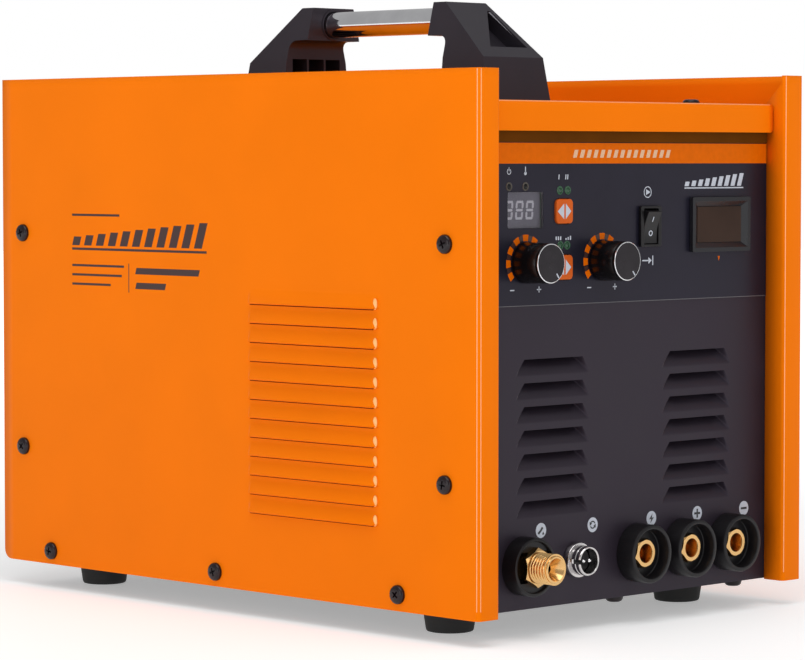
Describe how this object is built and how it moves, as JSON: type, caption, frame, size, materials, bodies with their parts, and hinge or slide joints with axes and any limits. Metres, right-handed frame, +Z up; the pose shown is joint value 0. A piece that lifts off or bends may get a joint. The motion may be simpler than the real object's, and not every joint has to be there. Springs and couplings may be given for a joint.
{
  "type": "plasma cutter unit",
  "caption": "Boxy metal case with folded side covers, pressed louvres, a top tube handle, front dials, a rocker switch, cable sockets and a brass torch fitting.",
  "frame": {"origin": "middle of the box in X and Y, on the surface that the feet stand on", "axes": "+X to the right seen from the front, +Y from front to rear along the longest side, +Z up"},
  "size_m": [0.2668, 0.4178, 0.3407],
  "materials": {
    "orange_cover": "satin powder coat",
    "dark_panel": "fine textured powder coat",
    "printed_overlay": "printed matt film",
    "black_steel": "satin",
    "black_plastic": "fine grain moulded",
    "knob_plastic": "satin",
    "brushed_cap": "dark brushed",
    "orange_button": "satin",
    "smoked_window": "clear smoked",
    "brass": "machined",
    "chrome": "polished",
    "zinc_steel": "zinc plated",
    "guard_wire": "black",
    "rubber": "matt",
    "circuit_board": "green board",
    "aluminium": "cast",
    "ferrite": "matt",
    "copper_winding": "enamelled wire",
    "capacitor_sleeve": "shrink sleeve",
    "air_hose": "satin"
  },
  "bodies": {
    "case": {"base_tray": "black_steel", "side_cover_left": "orange_cover", "side_cover_right": "orange_cover", "top_cover": "orange_cover", "front_panel": "dark_panel", "rear_panel": "dark_panel", "front_overlay": "printed_overlay", "display_window": "smoked_window", "display_module": "black_plastic", "control_board": "circuit_board", "current_pot": "zinc_steel", "delay_pot": "zinc_steel", "select_switch_body": "black_plastic", "meter_case": "black_plastic", "meter_window": "smoked_window", "torch_shroud": "black_plastic", "torch_fitting": "brass", "connector_shell": "chrome", "connector_insert": "black_plastic", "pilot_socket": "black_plastic", "pilot_contact": "brass", "positive_socket": "black_plastic", "positive_contact": "brass", "negative_socket": "black_plastic", "negative_contact": "brass", "handle_bracket_front": "black_plastic", "handle_bracket_rear": "black_plastic", "handle_tube": "chrome", "foot_front_left": "rubber", "foot_front_right": "rubber", "foot_rear_left": "rubber", "foot_rear_right": "rubber", "fan_frame": "black_plastic", "fan_guard": "guard_wire", "power_switch_body": "black_plastic", "cable_gland": "black_plastic", "air_inlet": "brass", "inner_baffle": "zinc_steel", "power_board": "circuit_board", "heat_sink": "aluminium", "transformer": "ferrite", "output_choke": "copper_winding", "bus_capacitor_1": "capacitor_sleeve", "bus_capacitor_2": "capacitor_sleeve", "compressor_motor": "aluminium", "compressor_cylinder": "aluminium", "solenoid_valve": "brass", "compressor_hose": "air_hose", "torch_hose": "air_hose"},
    "current_knob": {"current_knob": "knob_plastic", "current_knob_cap": "brushed_cap"},
    "delay_knob": {"delay_knob": "knob_plastic", "delay_knob_cap": "brushed_cap"},
    "mode_button": {"mode_button": "orange_button"},
    "process_button": {"process_button": "orange_button"},
    "select_rocker": {"select_rocker": "black_plastic"},
    "fan_rotor": {"fan_rotor": "black_plastic"},
    "compressor_rotor": {"compressor_rotor": "zinc_steel"},
    "power_switch_lever": {"power_switch_lever": "black_plastic"}
  },
  "joints": [
    {"name": "current_knob_turn", "type": "hinge", "parent": "case", "child": "current_knob", "pos_m": [-0.0821, -0.2035, 0.1978], "axis": [0, -1, 0], "range_deg": [0, 300]},
    {"name": "delay_knob_turn", "type": "hinge", "parent": "case", "child": "delay_knob", "pos_m": [-0.0227, -0.2035, 0.1978], "axis": [0, -1, 0], "range_deg": [0, 300]},
    {"name": "mode_button_press", "type": "slide", "parent": "case", "child": "mode_button", "axis": [0, 1, 0], "range_m": [0, 0.001], "stiffness_N_per_m": 800},
    {"name": "process_button_press", "type": "slide", "parent": "case", "child": "process_button", "axis": [0, 1, 0], "range_m": [0, 0.001], "stiffness_N_per_m": 800},
    {"name": "select_rocker_tip", "type": "hinge", "parent": "case", "child": "select_rocker", "pos_m": [0.0148, -0.1852, 0.2156], "axis": [-1, 0, 0], "range_deg": [0, 24]},
    {"name": "power_switch_throw", "type": "hinge", "parent": "case", "child": "power_switch_lever", "pos_m": [0.072, 0.1843, 0.212], "axis": [1, 0, 0], "range_deg": [0, 48]},
    {"name": "fan_spin", "type": "hinge", "parent": "case", "child": "fan_rotor", "pos_m": [-0.052, 0.1672, 0.15], "axis": [0, 1, 0], "continuous": true},
    {"name": "compressor_spin", "type": "hinge", "parent": "case", "child": "compressor_rotor", "pos_m": [0.07, 0, 0.092], "axis": [0, 1, 0], "continuous": true}
  ]
}
